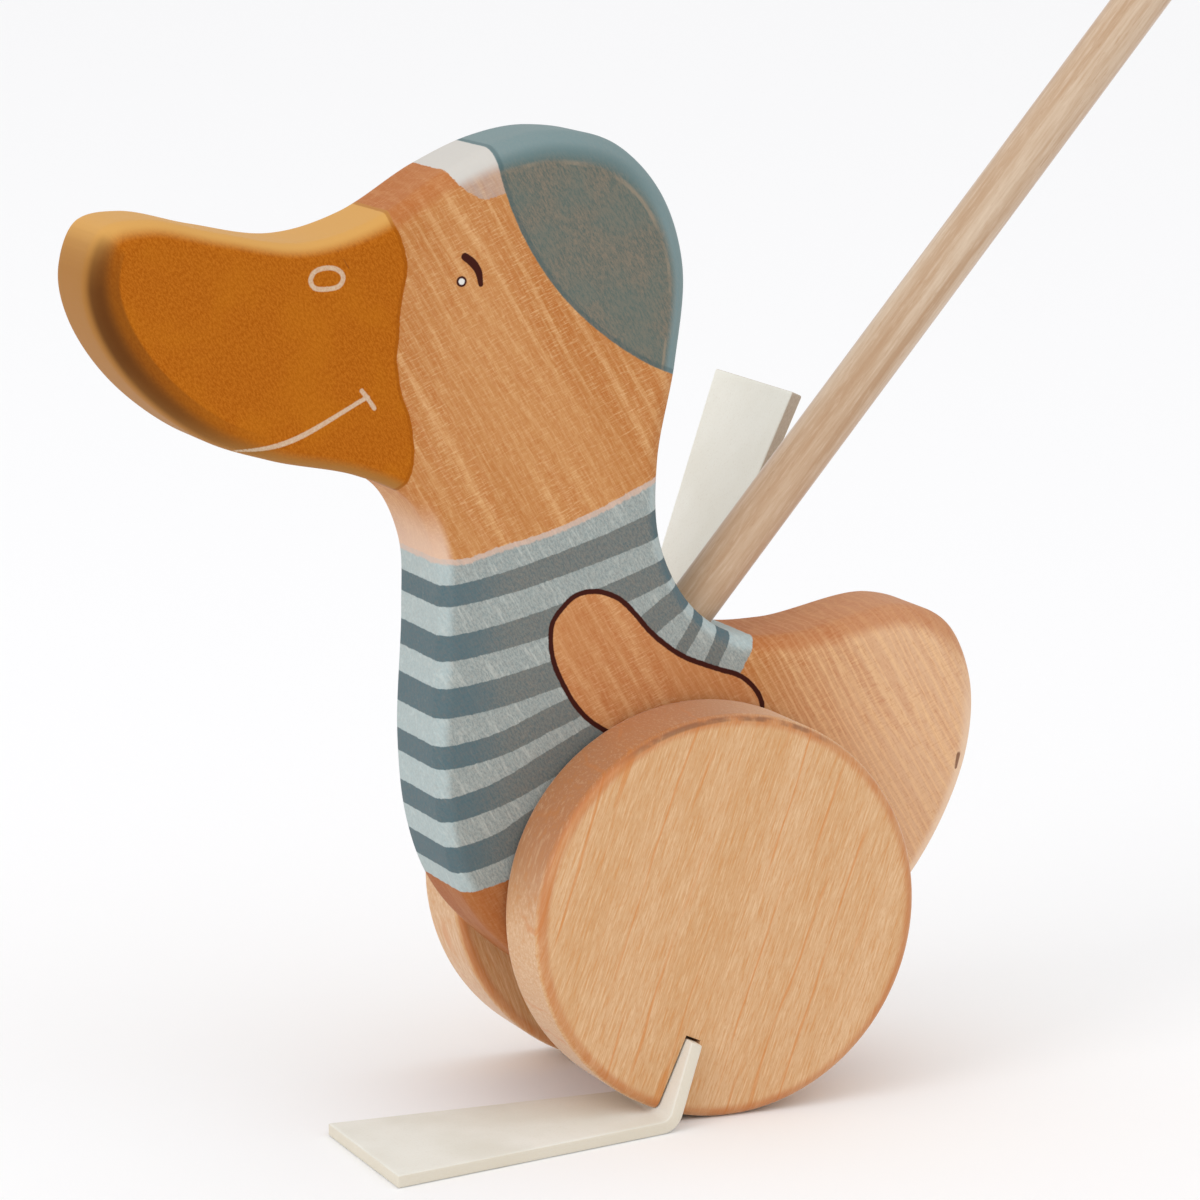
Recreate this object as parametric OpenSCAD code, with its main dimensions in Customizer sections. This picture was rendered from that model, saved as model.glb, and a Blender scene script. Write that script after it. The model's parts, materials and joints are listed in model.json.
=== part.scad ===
// Wooden duck on wheels, pushed along by a long stick. Two wheels turn with a dowel axle, and each
// carries a leather foot that slaps the floor. Millimetres, +Z up, the duck faces -X and its left
// side is -Y. The origin is on the floor, under the axle, in the middle of the board.

/* [Duck body] */
// Thickness of the board that the duck is cut from
body_t = 25; // [20:1:30]
// Radius of the rounded edge all round both faces
body_edge = 4; // [3:0.5:5]
// Radial clearance of the axle in the body
axle_play = 0.07; // [0.02:0.01:0.1]
// Radial clearance of the stick in its socket
stick_play = 0.08; // [0.02:0.01:0.1]

/* [Wheels and axle] */
// Diameter of each wheel
wheel_d = 80; // [76:1:82]
// Thickness of each wheel
wheel_t = 18; // [14:1:22]
// Radius of the rounded edge of each wheel
wheel_edge = 1.8; // [1:0.2:2.4]
// Gap between the body and each wheel
side_gap = 0.6; // [0.4:0.1:1]
// Diameter of the axle dowel
axle_d = 8; // [6:1:10]
// How far the axle is glued into each wheel
axle_seat = 12; // [8:1:13]

/* [Leather feet] */
// Thickness of the leather
leather_t = 2.5; // [2:0.1:2.7]
// Width of the slot sawn in each wheel
slot_w = 3.3; // [3.2:0.1:3.6]
// Distance from the axle to the closed end of the slot
slot_floor = 24.4; // [22:0.2:28]
// How far the middle of the slot misses the axle
slot_shift = 2.7; // [0:0.1:4]
// Lean of the left slot, forwards from straight down
left_lean = 24; // [15:1:30]
// Lean of the right slot, backwards from straight up
right_lean = 21.5; // [15:0.5:30]
// Length of the left foot, along the leather
left_len = 78; // [70:1:84]
// Length of the right foot, along the leather
right_len = 76; // [70:1:84]
// Width of a foot at its end in the slot
foot_w = 20; // [18:1:22]
// Growth in width for each millimetre of length
foot_flare = 0.24; // [0:0.01:0.3]
// Gap between a foot and the side of the body
foot_gap = 1.1; // [0.8:0.1:2]
// Inside radius of the left foot's bend
bend_r = 2.5; // [2:0.1:2.6]

/* [Stick] */
// Diameter of the stick
stick_d = 10; // [8:1:12]
// Length of the stick
stick_len = 550; // [450:10:600]
// Angle of the stick above the floor
stick_angle = 50; // [45:1:55]
// Depth of the stick's socket in the body
socket_depth = 30; // [20:1:34]
// Diameter of the ball on the stick's end
knob_d = 30; // [26:1:36]
// Depth of the hole in the ball
knob_seat = 18; // [12:1:20]

/* [Hidden] */
$fn = 96;
wheel_r = wheel_d / 2;
axle_r = axle_d / 2;
stick_r = stick_d / 2;
wheel_in = body_t / 2 + side_gap;         // inner face of a wheel, from the middle plane
foot_in = body_t / 2 + foot_gap;          // inner edge of a foot, from the middle plane
glue = 0.03;                              // radial room for glue in a seat
foot_inset = 0.6;                         // gap between a foot and the closed end of its slot
foot_start = slot_floor + foot_inset;
left_turn = 180 + left_lean;              // the slots, as turns about Y from straight up
bend_angle = 90 - left_lean;
bend_x = bend_r + leather_t / 2 - slot_shift;  // centre of the bend, across and along the slot
bend_s = (wheel_r + bend_x * sin(left_lean) - bend_r - leather_t) / cos(left_lean);
bend_len = (bend_r + leather_t / 2) * bend_angle * PI / 180;
in_slot = bend_s - foot_start;            // the left foot's leather before its bend
bend_centre = [bend_x * cos(left_turn) + bend_s * sin(left_turn), bend_r + leather_t];
bend_steps = 8;                           // flats along the bend
socket_mouth = [4.7, 0, 95];              // where the stick's axis leaves the duck's back
round_fn = 20;                            // sides of the ball that rounds the body's edge
knob_mouth = 1;                           // from the ball's lowest point to its hole's mouth
past = 1;                                 // how far a cut runs past the wood

// The duck seen from its left side, as X and Z. A smooth closed curve runs through these points.
duck_points = [
    [-39, 33.5], [-47, 43.5], [-51.5, 56], [-53.2, 73], [-52.2, 98],             // belly, breast
    [-52.8, 112], [-58, 122.5], [-68, 127.5], [-85, 131.3], [-99, 136.3],        // throat, lower bill
    [-112, 146.5], [-119.5, 158], [-121.3, 167.5], [-117.5, 176.5], [-109, 178], // tip of the bill
    [-95, 175], [-79, 172.5], [-65, 176], [-50, 184.8], [-38, 190],              // upper bill, brow
    [-27, 191.7], [-14.5, 189], [-5, 179.5], [-0.5, 165], [-2.3, 146],           // crown, nape
    [-6.2, 127], [-5.7, 111], [0.5, 98.5], [10, 91.8], [24, 90.9],               // neck, back
    [47, 94.7], [57.5, 90.5], [62.7, 79], [62, 65], [55.5, 49],                  // tail
    [45, 35], [27, 22], [2, 17.5], [-23, 22]                                     // belly
];
curve_steps = 4;

// A foot's outer edge, from the middle plane, where this much leather lies before it
function edge_y(used) = foot_in + foot_w + foot_flare * used;

// X and Z of a point of the left slot, side millimetres in front of the leather's middle
function in_left_slot(side, along) =
    let (x = side - slot_shift)
    [x * cos(left_turn) + along * sin(left_turn),
     wheel_r - x * sin(left_turn) + along * cos(left_turn)];
function bend_point(radius, k) =
    let (a = -left_lean - bend_angle * k / bend_steps)
    bend_centre + radius * [cos(a), sin(a)];

// Smooth closed curve through points (a centripetal Catmull-Rom spline)
function span(a, b) = sqrt(norm(b - a));
function tangent(p, q, r, scale) =
    let (a = span(p, q), b = span(q, r))
    scale * ((q - p) / a - (r - p) / (a + b) + (r - q) / b);
function curve_point(p, q, r, s, t) =
    let (b = span(q, r), m = tangent(p, q, r, b), n = tangent(q, r, s, b))
    (2 * t * t * t - 3 * t * t + 1) * q + (t * t * t - 2 * t * t + t) * m
    + (3 * t * t - 2 * t * t * t) * r + (t * t * t - t * t) * n;
function smooth_loop(points, steps) =
    let (n = len(points))
    [for (i = [0 : n - 1], k = [0 : steps - 1])
        curve_point(points[i], points[(i + 1) % n], points[(i + 2) % n], points[(i + 3) % n],
                    k / steps)];

module duck_outline() polygon(smooth_loop(duck_points, curve_steps));

// Turns a piece modelled along +Z so that it points along a slot: +X is the side it bends towards
module along_slot(turn) translate([0, 0, wheel_r]) rotate([0, turn, 0]) children();

module on_stick_axis() translate(socket_mouth) rotate([0, 90 - stick_angle, 0]) children();

// One board with rounded edges, bored for the axle and drilled for the stick
module duck_body() color("peru") difference() {
    minkowski() {
        rotate([90, 0, 0])
            linear_extrude(body_t - 2 * body_edge, center = true)
                offset(delta = -body_edge) duck_outline();
        sphere(r = body_edge, $fn = round_fn);
    }
    translate([0, 0, wheel_r]) rotate([90, 0, 0])
        cylinder(r = axle_r + axle_play, h = 2 * body_t, center = true);
    on_stick_axis() translate([0, 0, -socket_depth])
        cylinder(r = stick_r + stick_play, h = 2 * socket_depth);
}

module axle() color("burlywood")
    translate([0, 0, wheel_r]) rotate([90, 0, 0])
        cylinder(r = axle_r, h = 2 * (wheel_in + axle_seat), center = true);

// Half section of a wheel, with both rims rounded
module wheel_section() {
    square([wheel_r - wheel_edge, wheel_t]);
    translate([0, wheel_edge]) square([wheel_r, wheel_t - 2 * wheel_edge]);
    for (h = [wheel_edge, wheel_t - wheel_edge])
        translate([wheel_r - wheel_edge, h]) circle(wheel_edge, $fn = 48);
}

// A wheel on the +Y side, with a blind hole for the axle and a sawn slot for the foot
module wheel(turn) difference() {
    translate([0, wheel_in, wheel_r]) rotate([-90, 0, 0])
        rotate_extrude($fn = 180) wheel_section();
    translate([0, 0, wheel_r]) rotate([-90, 0, 0])
        cylinder(r = axle_r + glue, h = wheel_in + axle_seat);
    along_slot(turn)
        translate([-slot_shift - slot_w / 2, wheel_in - past, slot_floor])
            cube([slot_w, wheel_t + 2 * past, wheel_r]);
}

module wheel_left() color("burlywood") mirror([0, 1, 0]) wheel(left_turn);

module wheel_right() color("burlywood") wheel(right_lean);

// The left foot from its side: straight in the slot, bent at its mouth, then flat on the floor
module left_foot_side() {
    tip_x = bend_centre.x - (left_len - in_slot - bend_len);
    polygon([
        in_left_slot(leather_t / 2, foot_start),
        for (k = [0 : bend_steps]) bend_point(bend_r, k),
        [tip_x, leather_t],
        [tip_x, 0],
        for (k = [bend_steps : -1 : 0]) bend_point(bend_r + leather_t, k),
        in_left_slot(-leather_t / 2, foot_start)
    ]);
}

// What is cut off the left foot beyond its outer edge, which widens along the leather
module beyond_edge() {
    climb = foot_flare * (1 - sin(left_lean)) / cos(left_lean);
    reach = 2 * left_len;
    translate([bend_centre.x, edge_y(in_slot + bend_len), 0])
        rotate([atan(climb / norm([1, foot_flare])), 0, -atan(foot_flare)])
            translate([-reach, 0, -reach]) cube(2 * reach);
}

module foot_left() color("ivory") mirror([0, 1, 0]) difference() {
    translate([0, foot_in + left_len, 0]) rotate([90, 0, 0])
        linear_extrude(left_len) left_foot_side();
    beyond_edge();
}

// The right foot stands straight out of its slot
module foot_right() color("ivory")
    along_slot(right_lean) translate([-slot_shift, 0, foot_start]) rotate([0, -90, 0])
        linear_extrude(leather_t, center = true)
            polygon([[0, foot_in], [right_len, foot_in], [right_len, edge_y(right_len)],
                     [0, edge_y(0)]]);

module push_stick() color("wheat")
    on_stick_axis() translate([0, 0, -socket_depth]) cylinder(r = stick_r, h = stick_len);

module stick_knob() color("burlywood")
    on_stick_axis() translate([0, 0, stick_len - socket_depth - knob_seat]) difference() {
        translate([0, 0, knob_d / 2 - knob_mouth]) sphere(d = knob_d);
        translate([0, 0, -knob_d]) cylinder(r = stick_r + glue, h = knob_d + knob_seat);
    }

duck_body();
axle();
wheel_left();
wheel_right();
foot_left();
foot_right();
push_stick();
stick_knob();
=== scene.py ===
"""Looks of the push-along duck: a painted board on two wheels, with leather feet and a long stick.

Lengths are in millimetres, in the frame of the CAD model, up to the point where a mesh is made. The
duck faces -X and its left side is -Y. Paint is the same on both faces of the board, so every painted
shape is drawn once, in the side plane (X, Z), and stored on the mesh as a signed distance that the
material reads."""

import json
import math

import bmesh
import bpy
import numpy as np
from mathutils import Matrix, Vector
from mathutils.geometry import delaunay_2d_cdt


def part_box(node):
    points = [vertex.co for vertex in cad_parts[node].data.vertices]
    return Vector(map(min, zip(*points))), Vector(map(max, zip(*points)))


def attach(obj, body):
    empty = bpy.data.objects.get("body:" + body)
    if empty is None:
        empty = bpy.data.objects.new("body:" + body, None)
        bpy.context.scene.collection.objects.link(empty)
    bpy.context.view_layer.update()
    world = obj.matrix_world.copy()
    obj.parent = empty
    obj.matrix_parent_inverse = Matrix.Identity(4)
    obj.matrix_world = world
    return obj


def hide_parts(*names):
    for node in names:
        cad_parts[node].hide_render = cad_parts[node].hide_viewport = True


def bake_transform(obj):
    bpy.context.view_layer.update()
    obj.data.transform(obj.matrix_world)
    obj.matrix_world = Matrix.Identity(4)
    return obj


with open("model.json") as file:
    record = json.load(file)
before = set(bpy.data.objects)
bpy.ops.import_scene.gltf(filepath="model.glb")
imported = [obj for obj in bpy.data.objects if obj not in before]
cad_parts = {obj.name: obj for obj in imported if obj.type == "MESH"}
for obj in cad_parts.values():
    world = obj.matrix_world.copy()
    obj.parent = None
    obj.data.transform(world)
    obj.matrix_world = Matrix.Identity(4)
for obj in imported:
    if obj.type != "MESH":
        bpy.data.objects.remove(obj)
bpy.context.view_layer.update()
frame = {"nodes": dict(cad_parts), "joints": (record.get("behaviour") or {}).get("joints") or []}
joints = {joint["name"]: joint for joint in frame["joints"]}

MM = 0.001  # a millimetre, in metres

# ---- Camera, light and floor ----

CAMERA_AT = (-403.7, -938.0, 282.0)
CAMERA_TURN = -22.55  # degrees about Z from looking along +Y
CAMERA_DOWN = 10.25  # degrees below level
LENS = 157.7  # millimetres
SENSOR_WIDTH = 36.0
FLOOR_SIZE = 16.0  # metres
FLOOR_DROP = 0.05  # millimetres below the wheels
SKY_POWER = 0.79
SKY_COLOUR = (0.99, 0.99, 0.992, 1)
KEY_POWER = 0.65
KEY_WIDTH = 90.0  # degrees
KEY_FROM = (0.1, -0.25, 1.0)
FILL_POWER = 13.0
FILL_SIZE = 1.2  # metres
FILL_AT = (-2.2, -0.9, 1.2)  # metres

# ---- Duck board, with the design's thickness and holes ----

BOARD_T = 25.0
BORE_R = 4.07  # the axle's radius and its play
BORE_SIDES = 64
SOCKET_R = 5.08  # the stick's radius and its play
SOCKET_SIDES = 96
SOCKET_MOUTH = (4.7, 0.0, 95.0)  # where the stick's axis leaves the duck's back
SOCKET_DEPTH = 30.0
BOARD_GRAIN = -60.0  # degrees above +X, in the side plane
BOARD_RAYS = 24.0  # the direction of the finer fibres that cross it
CURVE_STEPS = 24  # points of the outline for each one below
ROUND_STEPS = 12  # steps over each rounded edge
BAND_STEPS = 6  # steps between the two rounded edges
FACE_GRID = 1.0  # spacing of the points on the flat faces
FINE_GRID = 0.28  # and under the small painted details
SAME_POINT = 1e-6  # closer points count as one when a face is cut into triangles
ONLY_INSIDE = 1  # delaunay_2d_cdt's number for leaving out what lies beyond the border
BOARD_SHARP = 40  # degrees

# X, Z and the radius of the rounded edge. A smooth closed curve runs through these points.
DUCK_OUTLINE = [
    (-39, 33.5, 3.4), (-47, 43.5, 3.3), (-51.5, 56, 3.3), (-53.2, 73, 3.3), (-52.2, 98, 3.3),
    (-52.8, 112, 3.4), (-58, 122.5, 3.6), (-68, 127.5, 4.0), (-85, 131.3, 4.4), (-99, 136.3, 5.2),
    (-112, 146.5, 5.8), (-119.5, 158, 6.0), (-121.2, 167.5, 5.8), (-117.5, 176.5, 5.2), (-109, 178, 4.4),
    (-95, 175, 3.8), (-79, 172.5, 3.8), (-65, 176, 4.2), (-50, 184.8, 4.7), (-38, 190, 5.6),
    (-27, 191.7, 6.3), (-14.5, 189, 6.7), (-5, 179.5, 6.0), (-0.5, 165, 5.0), (-2.3, 146, 4.3),
    (-6.2, 127, 3.6), (-5.7, 111, 3.4), (0.5, 98.5, 3.3), (10, 91.8, 3.5), (24, 90.9, 4.2),
    (47, 94.7, 5.4), (57.5, 90.5, 5.8), (62.7, 79, 5.4), (62, 65, 4.6), (55.5, 49, 4.0),
    (45, 35, 3.6), (27, 22, 3.5), (2, 17.5, 3.5), (-23, 22, 3.5),
]

# ---- Paint: closed shapes as (X, Z), brush strokes as (X, Z, half width) ----
# An _EDGE is the side of a shape that shows, and its _FAR points close the shape beyond the board.

BILL_EDGE = [
    (-61.3, 186), (-61.3, 181), (-61.3, 176), (-60, 173), (-58.9, 169), (-58.8, 166), (-59.5, 163),
    (-60.3, 158), (-60.5, 154), (-61, 150), (-60.5, 146), (-60, 143), (-58.5, 139), (-57.8, 135),
    (-57.6, 131), (-58.5, 127), (-60.5, 124), (-64, 118),
]
BILL_FAR = [(-140, 110), (-140, 200)]
HAT_EDGE = [
    (-47.5, 201), (-45, 195), (-41, 189), (-39.5, 183), (-37, 176), (-33, 168.3), (-28, 161.3),
    (-22, 155.2), (-15, 149.8), (-8, 145.7), (0, 142.8), (6, 141.5),
]
HAT_FAR = [(20, 140), (20, 210)]
PATCH_EDGE = [
    (-50.2, 200), (-50, 186), (-49, 183.5), (-47, 181.5), (-43, 179.5), (-39, 180.5), (-34, 182),
]
PATCH_FAR = [(-30, 200)]
NECKLINE = [
    (-70, 110.3), (-60, 110.5), (-53, 110.8), (-47, 110.8), (-40, 112.7), (-30, 115), (-20, 118.6),
    (-10, 123), (-5, 125), (6, 129),
]
JERSEY_FAR = [
    (20, 120), (17.5, 97), (14.2, 91), (10.5, 84), (4, 76), (-10, 62), (-25, 52.5), (-38, 47),
    (-45, 45.2), (-50, 44.4), (-54, 48.6), (-60, 52),
]
WING = [
    (-18.5, 75), (-22, 77.5), (-25, 81), (-27.5, 85.5), (-29, 89), (-29.7, 93), (-29.3, 97), (-27, 100),
    (-24.5, 102), (-21, 102.6), (-18, 102), (-15, 100.5), (-12, 97.5), (-9, 94), (-6, 91.3), (-2, 88.5),
    (2, 86.7), (6, 85.2), (10, 83.8), (13, 81.5), (14.7, 79), (15.2, 77), (14, 74), (8, 70.5), (-2, 69),
    (-12, 71),
]
WING_LINE = 0.52  # half the width of its outline
STRIPES = [
    [(-58, 103.4, 2.1), (-50, 103.6, 2.1), (-40, 105.2, 2.2), (-30, 107.7, 2.3), (-18, 111.2, 2.4),
     (-10, 113.9, 2.6), (0, 117.5, 2.7)],
    [(-58, 93.2, 2.5), (-50, 93.4, 2.5), (-40, 94.9, 2.5), (-30, 97.2, 2.6), (-18, 101, 2.5),
     (-7, 105, 2.3), (2, 108.5, 2.2)],
    [(-58, 82.4, 2.9), (-50, 82.7, 2.9), (-40, 84.1, 2.9), (-32, 86, 2.8), (-22, 88.5, 2.7)],
    [(-58, 71.8, 2.2), (-50, 72.1, 2.3), (-40, 74, 2.3), (-30, 78, 2.3), (-22, 81, 2.2)],
    [(-58, 61.2, 2.4), (-50, 61.7, 2.4), (-40, 64.3, 2.5), (-30, 69, 2.7), (-20, 73.8, 2.8),
     (-10, 78, 2.8)],
    [(-58, 51.6, 2.6), (-50, 51.4, 2.7), (-40, 53.8, 2.7), (-33, 57.7, 2.7), (-20, 64, 2.7)],
    [(-10, 94.4, 2.4), (-6, 97.5, 2.4), (-1, 100.8, 2.4), (4, 104, 2.4)],
    [(-3, 88.5, 1.3), (0, 93, 1.3), (3.5, 98.5, 1.3), (5, 101, 1.3)],
    [(3.5, 85, 1.6), (6, 90, 1.6), (9, 95.5, 1.6)],
]
INK = [
    [(-47.1, 168.8, 0.75), (-45.6, 167.6, 0.82), (-44.4, 165.9, 0.72), (-43.9, 163.4, 0.5)],
]
EYE_RING = (-47.8, 164.1, 1.05)  # X, Z and radius
EYE_WHITE_R = 0.62
NOSTRIL = [
    (-78.1, 165.6), (-77.3, 167.2), (-75, 167.9), (-72.6, 167.4), (-71.6, 166), (-72.4, 164.4),
    (-74.9, 163.9), (-77.3, 164.2),
]
NOSTRIL_LINE = 0.45  # half the width of its outline
MOUTH = [
    [(-92.5, 133.8, 0.2), (-88, 134.2, 0.42), (-84, 135, 0.5), (-80, 136.4, 0.5), (-76, 138.3, 0.46),
     (-72, 140.4, 0.42), (-68, 142.5, 0.42), (-66.9, 143, 0.42)],
    [(-68.1, 144.3, 0.42), (-66.8, 142.6, 0.42), (-65.6, 140.8, 0.42)],
]
KNOTS = [
    [(58.6, 64, 0.5), (58, 61.2, 0.35)],
    [(-49.7, 153.7, 0.12), (-48.5, 151.3, 0.16)],
    [(-72.5, 171, 0.08), (-70.5, 167.6, 0.1)],
]
# Where the flat faces need closer points: round the eye, the nostril and the mouth
DETAIL_AREAS = [
    [(-48, 166.5, 5.0), (-44.5, 165.5, 5.0)],
    [(-76.5, 166, 4.2), (-73, 166, 4.2)],
    [(-94, 134, 1.9), (-84, 135, 1.9), (-72, 140.4, 1.9), (-66, 142.8, 3.0)],
]

# ---- Leather feet, with the design's sizes ----

LEATHER_T = 2.5
LEATHER_ROUND = 0.4  # radius along the cut edges
CORNER_POINTS = 5  # points round each of those edges
FACE_POINTS = 25  # and across each broad face
LEAST_ROUND = 0.02  # radius at the very ends, where two points would otherwise meet
STRAP_SHARP = 60  # degrees
SLOT_SHIFT = 2.7  # how far the middle of each slot misses the axle
FOOT_START = 25.0  # from the axle, along the slot
FOOT_IN = 13.6  # from the middle plane to a foot's inner edge
FOOT_W = 20.0  # at its start
FOOT_FLARE = 0.24  # growth in width for each millimetre of length
LEFT_LEAN = 24.0  # degrees forwards from straight down
LEFT_LENGTH = 78.0
RIGHT_LEAN = 21.5  # degrees backwards from straight up
RIGHT_LENGTH = 76.0
RIGHT_CURL = [(15.5, 21.5), (20.5, 8.0), (38.0, 24.7)]  # length along the strap, and its lean there
BEND_R = 2.5  # inside the left foot's bend
PATH_STEP = 0.5
PATH_TURN = 6.0  # degrees between the points round the left foot's bend
END_TURNS = (0, 30, 60)  # degrees round the softened ends

# ---- Materials ----

BUMP_STRENGTH = 0.3
BUMP_UNIT = 0.1  # millimetres that a height of 1 stands for
TREAD_SHADE = 125.0  # degrees above +X, towards the side of each wheel's tread that is darkened with painted shade


# ---- Curves and distances in the side plane ----

def smooth(points, steps=6, closed=False):
    """A centripetal Catmull-Rom curve through points. Columns after the first two are carried along."""
    p = np.asarray(points, float)
    if closed:
        p = np.vstack([p[-1:], p, p[:2]])
    else:
        p = np.vstack([2 * p[0] - p[1], p, 2 * p[-1] - p[-2]])
    t = np.arange(steps)[:, None] / steps
    spans = []
    for a, b, c, d in zip(p, p[1:], p[2:], p[3:]):
        ab, bc, cd = (math.sqrt(np.linalg.norm((v - u)[:2])) for u, v in ((a, b), (b, c), (c, d)))
        leave = bc * ((b - a) / ab - (c - a) / (ab + bc) + (c - b) / bc)
        arrive = bc * ((c - b) / bc - (d - b) / (bc + cd) + (d - c) / cd)
        spans.append((2 * t**3 - 3 * t**2 + 1) * b + (t**3 - 2 * t**2 + t) * leave
                     + (3 * t**2 - 2 * t**3) * c + (t**3 - t**2) * arrive)
    curve = np.vstack(spans)
    return curve if closed else np.vstack([curve, p[-2]])


def nearest(points, line):
    """Each point's distance to a line of straight pieces, and the place of the nearest point along it."""
    best = np.full(len(points), np.inf)
    place = np.zeros(len(points))
    for i, (a, b) in enumerate(zip(line[:, :2], line[1:, :2])):
        along = b - a
        t = np.clip((points - a) @ along / (along @ along), 0, 1)
        distance = np.linalg.norm(points - a - t[:, None] * along, axis=1)
        closer = distance < best
        best[closer] = distance[closer]
        place[closer] = i + t[closer]
    return best, place


def inside(points, loop):
    """Whether each point lies inside a closed loop."""
    x, z = points.T
    result = np.zeros(len(points), bool)
    for (ax, az), (bx, bz) in zip(loop[:, :2], np.roll(loop[:, :2], -1, axis=0)):
        if az != bz:
            result ^= ((az > z) != (bz > z)) & (x < ax + (bx - ax) * (z - az) / (bz - az))
    return result


def shape(points, loop):
    """Signed distance to a closed shape, below zero inside it."""
    distance, _ = nearest(points, np.vstack([loop, loop[:1]]))
    return np.where(inside(points, loop), -distance, distance)


def strokes(points, lines):
    """Signed distance to brush strokes of varying width, below zero inside them."""
    best = np.full(len(points), np.inf)
    for line in lines:
        curve = smooth(line)
        distance, place = nearest(points, curve)
        half_width = np.interp(place, np.arange(len(curve)), curve[:, 2])
        best = np.minimum(best, distance - half_width)
    return best


def closed_by(edge, far):
    """A loop made of a smooth painted edge and the straight lines that close it outside the board."""
    return np.vstack([smooth(edge), np.array(far, float)])


# ---- Meshes ----

def make_piece(name, points, faces, material):
    """A mesh object from points in millimetres."""
    mesh = bpy.data.meshes.new(name)
    mesh.from_pydata([tuple(p) for p in np.asarray(points) * MM], [], faces)
    mesh.update()
    piece = bpy.data.objects.new(name, mesh)
    bpy.context.scene.collection.objects.link(piece)
    mesh.materials.append(material)
    return piece


def finish_shading(mesh, sharp):
    """Smooth shading, apart from edges sharper than an angle in degrees."""
    mesh.shade_smooth()
    mesh.set_sharp_from_angle(angle=math.radians(sharp))


def store(mesh, name, values):
    """Keeps one number for each vertex, or one vector, for the material to read."""
    values = np.asarray(values, np.float32)
    kind, field = ("FLOAT", "value") if values.ndim == 1 else ("FLOAT_VECTOR", "vector")
    attribute = mesh.attributes.new(name, kind, "POINT")
    attribute.data.foreach_set(field, values.ravel())


def vertex_array(mesh):
    """The mesh's points, in millimetres."""
    flat = np.empty(len(mesh.vertices) * 3, np.float32)
    mesh.vertices.foreach_get("co", flat)
    return flat.reshape(-1, 3).astype(float) / MM


def tube_faces(rings, count):
    """Quads between rings that hold count points each and follow one another."""
    faces = []
    for r in range(rings - 1):
        for i in range(count):
            j = (i + 1) % count
            faces.append((r * count + i, r * count + j, (r + 1) * count + j, (r + 1) * count + i))
    return faces


def axle_centre():
    """X and Z of the axle."""
    at = joints["wheel_roll"]["pos_m"]
    return np.array([at[0], at[2]]) / MM


# ---- Duck board ----

def duck_outline():
    """The outline, its outward directions, and the radius of the rounded edge at each point."""
    curve = smooth(DUCK_OUTLINE, CURVE_STEPS, closed=True)
    along = np.roll(curve[:, :2], -1, axis=0) - np.roll(curve[:, :2], 1, axis=0)
    along /= np.linalg.norm(along, axis=1)[:, None]
    outward = np.stack([-along[:, 1], along[:, 0]], axis=1)
    if inside(curve[:1, :2] + outward[:1], curve)[0]:
        outward = -outward
    return curve[:, :2], outward, curve[:, 2]


def board_rings():
    """Rings of points round the board, from one flat face over both rounded edges to the other."""
    line, outward, radius = duck_outline()
    rings = []
    for turn in np.linspace(90, 0, ROUND_STEPS + 1):
        rings.append((radius * (1 - math.cos(math.radians(turn))),
                      BOARD_T / 2 - radius * (1 - math.sin(math.radians(turn)))))
    for share in np.linspace(1, -1, BAND_STEPS + 1)[1:-1]:
        rings.append((0 * radius, share * (BOARD_T / 2 - radius)))
    rings += [(inset, -height) for inset, height in reversed(rings[:ROUND_STEPS + 1])]
    return [np.stack([line[:, 0] - outward[:, 0] * inset, height,
                      line[:, 1] - outward[:, 1] * inset], axis=1)
            for inset, height in rings]


def hex_points(low, high, spacing):
    """Points in rows, with every other row shifted by half a spacing."""
    rows = []
    for k, z in enumerate(np.arange(low[1], high[1], spacing * math.sqrt(3) / 2)):
        x = np.arange(low[0] + spacing / 2 * (k % 2), high[0], spacing)
        rows.append(np.stack([x, np.full(len(x), z)], axis=1))
    return np.vstack(rows)


def grid_inside(border, bore):
    """Points for the flat face, closer together where something small is painted."""
    low, high = border.min(axis=0), border.max(axis=0)
    coarse, fine = hex_points(low, high, FACE_GRID), hex_points(low, high, FINE_GRID)
    fine = fine[strokes(fine, DETAIL_AREAS) < 0]
    coarse = coarse[strokes(coarse, DETAIL_AREAS) > FACE_GRID / 2]
    points = np.vstack([coarse, fine])
    points = points[shape(points, border) < -FACE_GRID / 3]
    return points[shape(points, bore) > FACE_GRID / 3]


def face_triangles(border, bore, grid):
    """Triangles of a flat face: border first, then the bore's circle, then the points between them."""
    points = np.vstack([border, bore, grid])
    loops = []
    for start, count in ((0, len(border)), (len(border), len(bore))):
        loops += [(start + i, start + (i + 1) % count) for i in range(count)]
    _, _, triangles, sources, _, _ = delaunay_2d_cdt([Vector(p) for p in points], loops, [],
                                                     ONLY_INSIDE, SAME_POINT)
    source = [s[0] for s in sources]
    kept = [[source[i] for i in t] for t in triangles]
    centres = np.array([points[t].mean(axis=0) for t in kept])
    return [t for t, hole in zip(kept, inside(centres, bore)) if not hole]


def bore_circle():
    """The axle's bore, seen from the side."""
    turns = np.arange(BORE_SIDES) * 2 * math.pi / BORE_SIDES
    return axle_centre() + BORE_R * np.stack([np.cos(turns), np.sin(turns)], axis=1)


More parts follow.
